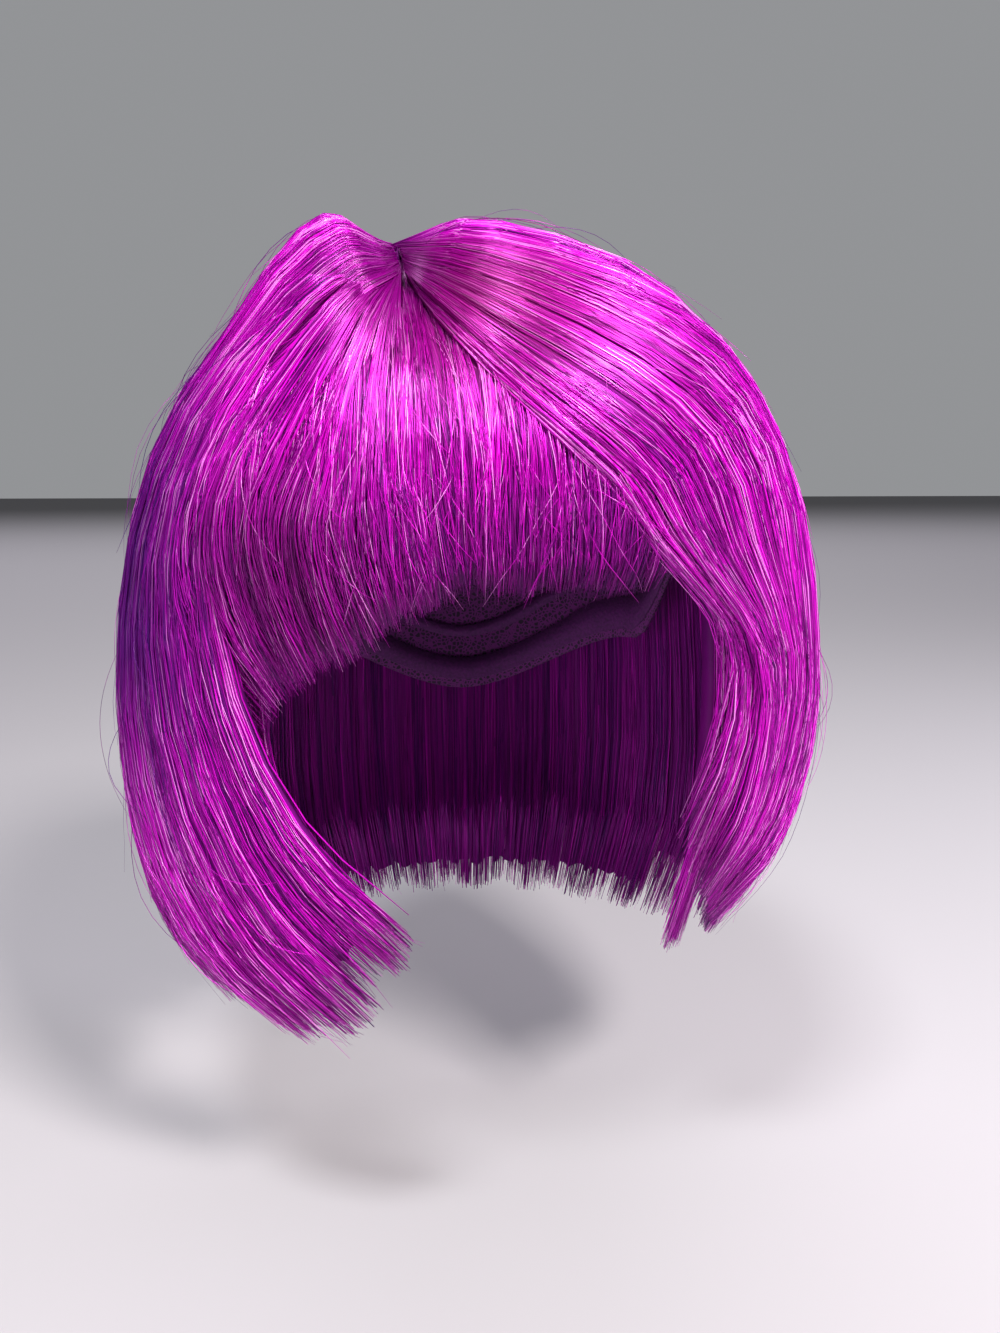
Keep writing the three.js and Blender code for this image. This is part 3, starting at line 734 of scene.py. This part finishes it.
fibre, shader = new_material("glossy modacrylic fibre")
tone = add_node(fibre, "ShaderNodeAttribute", {"attribute_name": "tone"}).outputs["Fac"]
way = add_node(fibre, "ShaderNodeAttribute", {"attribute_name": "way"}).outputs["Fac"]
# The palest stop, light pink, is the colour of the painted glints
dyed_and_glints = colour_ramp(fibre, tone, [(0, "#4a0062"), (1, "#ff96f8"), (0.5, "#a2009c"), (0.88, "#f20ce4")])
# Painted shade: darker at the root, where the parting's groove lies in shade
root_shaded = mixed(fibre, faded(fibre, way, 0, 0.16, 0.7, 0), dyed_and_glints, "#5a045c")
fibre.node_tree.links.new(with_painted_shade(fibre, root_shaded), shader.inputs["Base Color"])
shader.inputs["Roughness"].default_value = 0.28
shader.inputs["IOR"].default_value = 1.48
shader.inputs["Metallic"].default_value = 0.3
fibre.node_tree.links.new(faded(fibre, way, 0, 0.2, 0.05, 0.75), shader.inputs["Specular IOR Level"])
shader.inputs["Specular Tint"].default_value = linear("#ffb8ff")

# Between the strands the packed fibre shows as dark lines about 0.7 mm apart. Its dark colour, well below
# the strands' tone, is painted shade between the strands.
line_pitch = 1 / 1.4 * mm
line_length = 1000 / 12 * mm
packed_fibre, shader = new_material("packed modacrylic fibre")
uv = add_node(packed_fibre, "ShaderNodeUVMap", {"uv_map": "strands"}).outputs["UV"]
stretched = add_node(packed_fibre, "ShaderNodeMapping", {"Scale": (1 / line_pitch, 1 / line_length, 1)},
                     {"Vector": uv}).outputs["Vector"]
lines = add_node(packed_fibre, "ShaderNodeTexNoise", {"Scale": 1, "Detail": 3},
                 {"Vector": stretched}).outputs["Fac"]
# Painted shade: the packed fibre is darker than the strands
fibre_lines_and_shade = colour_ramp(packed_fibre, lines, [(0.3, "#43024f"), (0.7, "#8c068c")])
packed_fibre.node_tree.links.new(with_painted_shade(packed_fibre, fibre_lines_and_shade), shader.inputs["Base Color"])
bump = add_node(packed_fibre, "ShaderNodeBump", {"Strength": 0.8, "Distance": 0.5 * mm}, {"Height": lines})
packed_fibre.node_tree.links.new(bump.outputs["Normal"], shader.inputs["Normal"])
shader.inputs["Roughness"].default_value = 0.6
shader.inputs["Specular IOR Level"].default_value = 0.15


def columns_of(guides, t):
    return [along([row[k] for row in guides], t) for k in range(len(guides[0]))]


def bow_points(roots, bow, reach):
    turn = np.radians(bow)
    out = (reach * hair_width / 2)[:, None]
    return roots + out * np.stack([np.sin(turn), -np.cos(turn)], axis=-1)


def back_paths():
    whorl, bow, reach, join, length, curl = columns_of(back_guides, np.linspace(0, 1, columns))
    crown = parting_front + (parting_crown - parting_front) * crown_share
    turn = np.radians(whorl)
    roots = crown + crown_whorl * np.stack([np.sin(turn), -np.cos(turn)], axis=-1)
    return strand_paths(roots, bow_points(roots, bow, reach), [join], length, curl, curl_rows)


def back_lift(t, away):
    return parting_lift(away, left_swell + (right_swell - left_swell) * t, parting_dip)


back_hair = panel(back_paths(), back_locks, 13, back_lift, lambda t: np.full(t.shape, side_wall), 0.35, 11)
hair_body("back_hair_body", back_hair, 1.6, 0, packed_fibre, "back_hair")
strand_layer("back_hair_strands", back_hair, 1550, 17, 12, fibre, tone=0.45, ragged=8)
lining("back_hair_lining", back_hair, 780, 13, fibre)
loose_strands("back_hair_flyaways", back_hair, 120, 9, 14, fibre, (15, 60), 2.2, 8)


# Side hair: from each side of the parting over the ears, longest at the jaw and turned in there.
# Its front edge is a thin strip that lies over the fringe, with a clear ledge on the left.
strip_wall = 1.8
strip_share = 0.36
strip_step = 0.16
front_dip = 1.6
front_swell = 0.1
swell_spread = 0.4
right_slope = 15
right_sink = 4.2
left_sink = 0.8
sink_share = 0.45
sink_start = 40
# Place on the parting, bow and reach, four directions down the wall, then length and curl
right_guides = [
    (0, -40, 0.16, -42, -39, -31, -16, 0.84, 0.69),
    (0.15, -55, 0.26, -57, -53, -44, -29, 0.945, 0.72),
    (0.36, -72, 0.3, -80, -76, -67, -52, 0.935, 0.76),
    (0.62, -92, 0.3, -101, -99, -94, -86, 0.96, 0.78),
    (0.92, -120, 0.35, -125, -125, -125, -125, 1, 0.76),
]
left_guides = [
    (0, 22, 0.41, 22, 43, 47, 49, 0.8, 0.77),
    (0.15, 36, 0.44, 44, 56, 58, 58, 0.83, 0.74),
    (0.36, 55, 0.5, 74, 77, 75, 70, 0.88, 0.72),
    (0.62, 85, 0.5, 99, 99, 97, 92, 0.95, 0.75),
    (0.92, 120, 0.35, 125, 125, 125, 125, 1, 0.76),
]
side_locks = [(0.7, 0.5, 0.8), (1, 0.9, 1), (1.2, 1, 0.7), (0.9, 0.7, 1), (1.2, 0.9, 0.6), (1, 0.8, 0.9)]


def side_paths(guides, side, curl_steps):
    share, bow, reach, *turns, length, curl = columns_of(guides, np.linspace(0, 1, columns))
    rearward = ease((share - crown_start) / (crown_share - crown_start))
    away = parting_half + (crown_whorl - parting_half) * rearward
    roots = parting_front + (parting_crown - parting_front) * share[:, None]
    roots[:, 0] += side * away
    return strand_paths(roots, bow_points(roots, bow, reach), turns, length, curl, curl_steps)


def side_panel(guides, side, swell, sink, seed):
    def thick_share(t):
        return ease((t - strip_share) / strip_step)

    def lift(t, away):
        rise = swell * (front_swell + (1 - front_swell) * ease(t / swell_spread))
        sunk = sink * (1 - ease(t / sink_share)) * ease(away / sink_start)
        dip = front_dip + (parting_dip - front_dip) * thick_share(t)
        return parting_lift(away, rise, dip, right_slope if side < 0 else parting_slope) - sunk

    def wall(t):
        return strip_wall + (side_wall - strip_wall) * thick_share(t)

    return panel(side_paths(guides, side, curl_rows), side_locks, 13, lift, wall, 0.3, seed)


# The right panel is built as seen from outside, from its rear edge to its front edge
def turned_round(hair):
    return {name: grid[::-1].copy() for name, grid in hair.items()}


right_side = turned_round(side_panel(right_guides, -1, right_swell, right_sink, 21))
hair_body("right_side_hair_body", right_side, 1.6, 10, packed_fibre, "right_side_hair")
strand_layer("right_side_hair_strands", right_side, 1750, 18, 22, fibre, ragged=14)
lining("right_side_hair_lining", right_side, 220, 23, fibre)
loose_strands("right_side_hair_flyaways", right_side, 220, 9, 24, fibre, (15, 70), 2.4, 8)
loose_strands("right_side_hair_arcs", right_side, 14, 22, 25, fibre, (70, 150), 7, 20,
              tone=0.2)

left_side = side_panel(left_guides, 1, left_swell, left_sink, 31)
hair_body("left_side_hair_body", left_side, 1.6, 10, packed_fibre, "left_side_hair")
strand_layer("left_side_hair_strands", left_side, 1750, 18, 32, fibre, ragged=10)
lining("left_side_hair_lining", left_side, 220, 33, fibre)
loose_strands("left_side_hair_flyaways", left_side, 220, 9, 34, fibre, (15, 70), 2.4, 8)
loose_strands("left_side_hair_arcs", left_side, 14, 22, 35, fibre, (70, 150), 7, 20,
              tone=0.2)

# On the wearer's right a thin fan of strands runs from the parting over the side hair's front edge
# and the fringe alike, so that one passes into the other.
fan_guides = [
    (0, -8, 0.36, -8, -8, -7, -7, 0.4, 0.89),
    (0.01, -20, 0.36, -20, -20, -19, -18, 0.445, 0.89),
    (0.04, -32, 0.32, -33, -32, -30, -28, 0.49, 0.89),
    (0.08, -44, 0.28, -47, -46, -43, -38, 0.54, 0.86),
    (0.14, -53, 0.26, -58, -57, -52, -44, 0.64, 0.8),
]
fringe_locks = [(0.9, 0.6, 0.6), (1, 1, 0.7), (1.2, 0.8, 0.4), (0.9, 1, 0.6), (1.1, 0.7, 0.4), (1, 1, 0.5),
                (1.1, 0.6, 0.6)]
fan_curl_rows = [0, 0.14, 0.4, 1]
fan_drop = 4.3
fan_side_drop = 1.4
fan_swell = 6.5


# A fan is lowest at its edge near the face and rises by the other edge to the side hair's level
def fan_panel(guides, side, drop, side_drop, swell, reached, seed, passes):
    def lift(t, away):
        level = -drop + (drop - side_drop) * ease(t)
        return parting_lift(away, swell * ease(t), front_dip) + level * ease(away / reached)

    return panel(side_paths(guides, side, fan_curl_rows), fringe_locks, 5, lift,
                 lambda t: np.full(t.shape, strip_wall), 0.2, seed, passes=passes)


right_fan = turned_round(fan_panel(fan_guides, -1, fan_drop, fan_side_drop, fan_swell, sink_start, 26, 140))
strand_layer("right_side_hair_fan", right_fan, 600, 14, 27, fibre, depth=(-0.3, 0.9),
             cross=3, thickness=(0.11, 0.22))

# On the wearer's left the ledge's edge is soft: a narrow fan of strands lies along it and slopes
# down from the ledge to the fringe.
ledge_guides = [
    (0, 17, 0.4, 16, 38, 43, 46, 0.74, 0.77),
    (0, 22, 0.41, 21.5, 43, 47, 49, 0.79, 0.77),
    (0.04, 26, 0.42, 27, 46, 50, 51.5, 0.808, 0.763),
]
ledge_drop = 4.3
ledge_start = 12
left_ledge = fan_panel(ledge_guides, 1, ledge_drop, left_sink, 0, ledge_start, 36, 24)
strand_layer("left_side_hair_ledge", left_ledge, 280, 17, 37, fibre, depth=(-0.3, 0.9),
             cross=2.5, thickness=(0.12, 0.22), ragged=24)


# Fringe: a full fringe that fans out from the front end of the parting, under the side hair, and is
# cut at the brow. It is the same fibre, in finer locks.
fringe_wall = 7.8
fringe_gap = 0.9
fringe_curl_rows = [0, 0.2, 0.5, 1]
# Root as shares of the front depth, two directions down the wall, then length and curl
fringe_guides = [
    (-0.4, 0.36, -50, -50, 0.495, 0.9),
    (-0.31, 0.4, -30, -29, 0.48, 0.89),
    (-0.21, 0.43, -9, -8, 0.4, 0.89),
    (-0.11, 0.43, 14, 15, 0.388, 0.89),
    (-0.02, 0.4, 46, 46, 0.375, 0.91),
]


def fringe_paths():
    root_x, root_y, *turns, length, curl = columns_of(fringe_guides, np.linspace(0, 1, columns))
    roots = np.stack([root_x, -root_y], axis=-1) * hair_front
    bows = (roots + plan_point(turns[0], 1)) / 2
    return strand_paths(roots, bows, turns, length, curl, fringe_curl_rows)


# The fringe lies under the side hair's thin strip, a gap below it
def fringe_lift(t, away):
    return np.full(np.broadcast(t, away).shape, -ridge_height - strip_wall - fringe_gap)


fringe = panel(fringe_paths(), fringe_locks, 6.5, fringe_lift,
               lambda t: np.full(t.shape, fringe_wall), 0.25, 41)
hair_body("fringe_body", fringe, 1.6, 4, packed_fibre, "fringe")
# The fringe's strands darken towards their tips: painted shade where it curls under
strand_layer("fringe_strands", fringe, 2250, 13, 42, fibre, ragged=4, clump_width=5,
             cross=2.4, tip_shade=0.45)
lining("fringe_lining", fringe, 260, 43, fibre)
loose_strands("fringe_flyaways", fringe, 200, 9, 44, fibre, (12, 60), 1.8, 8, tone=0.6)
# The wisps' light tone is painted light: thin strands catching the light across the fringe's darker lower
# part
loose_strands("fringe_wisps", fringe, 130, 12, 45, fibre, (25, 60), 1.6, 13,
              places=(0.3, 0.75), thickness=(0.08, 0.13), tone=0.85)


# Temple locks: two thin locks at the temples, inside the side hair, that fall close to the face.
# They are the same fibre, and each is a body of packed fibre of its own with one layer of strands.
temple_wall = 4
# Front and rear directions, front and rear distances as shares of the cap, and height
right_temple_rows = [(-53, -77, 1.06, 1.16, 0.25), (-55, -75, 1.11, 1.2, 0.37),
                     (-55, -73, 1.15, 1.24, 0.48), (-53, -69, 1.14, 1.22, 0.6),
                     (-50, -63, 1.07, 1.14, 0.7)]
left_temple_rows = [(57, 76, 1.04, 1.1, 0.25), (60, 75, 1.09, 1.14, 0.4), (60, 74, 1.11, 1.15, 0.56),
                    (59, 70, 1.04, 1.08, 0.73), (57, 64, 0.91, 0.94, 0.89)]
temple_locks = [(1, 0.5, 1), (0.8, 0.4, 1)]


def temple_panel(table, seed):
    t = np.linspace(0, 1, columns)[:, None]
    s = np.linspace(0, 1, 40)[None]
    front, rear, front_out, rear_out, level = [along([row[k] for row in table], s) for k in range(5)]
    turn = np.radians(front + (rear - front) * t)
    out = front_out + (rear_out - front_out) * t
    paths = np.stack([
        out * cap_width / 2 * np.sin(turn),
        cap_centre_y - out * cap_length / 2 * np.cos(turn),
        -hair_length * level * np.ones(t.shape),
    ], axis=-1)
    return panel(paths, temple_locks, 13, lambda t, away: np.zeros(np.broadcast(t, away).shape),
                 lambda t: np.full(t.shape, temple_wall), 0.1, seed)


right_temple = turned_round(temple_panel(right_temple_rows, 51))
hair_body("right_temple_lock_body", right_temple, 1.2, 10, packed_fibre,
          "right_temple_lock")
strand_layer("right_temple_lock_strands", right_temple, 380, 9, 52, fibre, tone=0.45,
             clump_width=5)
left_temple = temple_panel(left_temple_rows, 61)
hair_body("left_temple_lock_body", left_temple, 1.2, 10, packed_fibre, "left_temple_lock")
strand_layer("left_temple_lock_strands", left_temple, 380, 9, 62, fibre, tone=0.6,
             clump_width=5)
